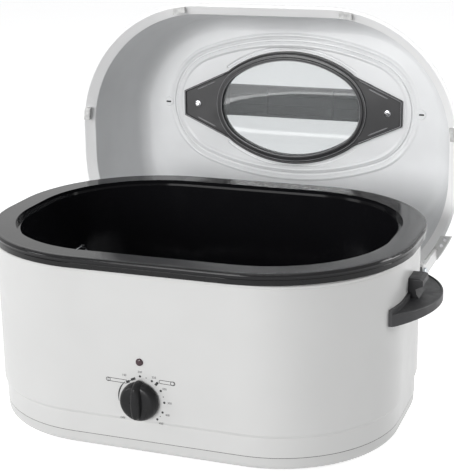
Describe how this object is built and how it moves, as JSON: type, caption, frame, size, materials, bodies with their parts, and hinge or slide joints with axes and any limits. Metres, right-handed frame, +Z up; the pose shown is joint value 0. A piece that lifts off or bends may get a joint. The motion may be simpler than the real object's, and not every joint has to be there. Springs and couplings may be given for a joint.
{
  "type": "electric roaster oven",
  "caption": "Countertop roaster oven with an oval body, lift-out pan and rack, and a hinged domed lid with an oval window.",
  "frame": {"origin": "under the middle of the bounding box of the oven with its lid open, on the counter", "axes": "+X the user's right, -Y the front with the knob, +Z up"},
  "size_m": [0.552, 0.576, 0.456],
  "materials": {
    "white_shell": "satin powder coat",
    "white_base": "satin powder coat",
    "pan_enamel": "glossy enamel",
    "well_enamel": "glossy enamel",
    "lid_metal": "satin inside, dark outside",
    "handle_plastic": "fine matte grain",
    "frame_plastic": "satin",
    "knob_plastic": "glossy",
    "thermostat_plastic": "moulded",
    "terminal_plastic": "moulded",
    "lamp_lens": "clear dark red",
    "window_glass": "clear tempered",
    "gasket_rubber": "silicone",
    "foot_rubber": "moulded",
    "blanket_fibre": "fibre mat",
    "heater_steel": "heat tinted strip",
    "bracket_paint": "satin powder coat",
    "bumper_silicone": "clear silicone",
    "zinc_steel": "zinc plated",
    "bright_screw": "bright plated",
    "rack_chrome": "bright plated wire"
  },
  "bodies": {
    "oven": {"outer_shell": "white_shell", "base_pan": "white_base", "foot_front_left": "foot_rubber", "foot_rear_left": "foot_rubber", "foot_front_right": "foot_rubber", "foot_rear_right": "foot_rubber", "foot_screws": "zinc_steel", "heating_well": "well_enamel", "heater_band": "heater_steel", "insulation_blanket": "blanket_fibre", "thermostat_housing": "thermostat_plastic", "thermostat_bracket": "zinc_steel", "indicator_lens": "lamp_lens", "lamp_holder": "thermostat_plastic", "terminal_block": "terminal_plastic", "cord_bushing": "handle_plastic", "handle_left": "handle_plastic", "handle_right": "handle_plastic", "handle_screws": "zinc_steel", "hinge_bracket_left": "bracket_paint", "hinge_bracket_right": "bracket_paint", "hinge_pin_left": "zinc_steel", "hinge_pin_right": "zinc_steel"},
    "lid": {"lid_dome": "lid_metal", "window_frame": "frame_plastic", "window_gasket": "gasket_rubber", "window_glass": "window_glass", "handle_base": "handle_plastic", "lid_handle": "handle_plastic", "lid_screws": "bright_screw", "hinge_arm_left": "bracket_paint", "hinge_arm_right": "bracket_paint", "arm_rivets": "bright_screw", "lid_bumpers": "bumper_silicone"},
    "knob": {"control_knob": "knob_plastic", "control_shaft": "zinc_steel"},
    "pan": {"roasting_pan": "pan_enamel"},
    "rack": {"roasting_rack": "rack_chrome", "rack_loop_left": "rack_chrome", "rack_loop_right": "rack_chrome"}
  },
  "joints": [
    {"name": "lid_hinge", "type": "hinge", "parent": "oven", "child": "lid", "pos_m": [0, 0.02895, 0.152], "axis": [1, 0, 0], "range_deg": [0, 90]},
    {"name": "knob_turn", "type": "hinge", "parent": "oven", "child": "knob", "pos_m": [-0.014, -0.2745, 0.074], "axis": [0, -1, 0], "range_deg": [-137, 137]},
    {"name": "pan_lift", "type": "slide", "parent": "oven", "child": "pan", "axis": [0, 0, 1], "range_m": [0, 0.356]},
    {"name": "rack_lift", "type": "slide", "parent": "pan", "child": "rack", "axis": [0, 0, 1], "range_m": [0, 0.352]}
  ]
}
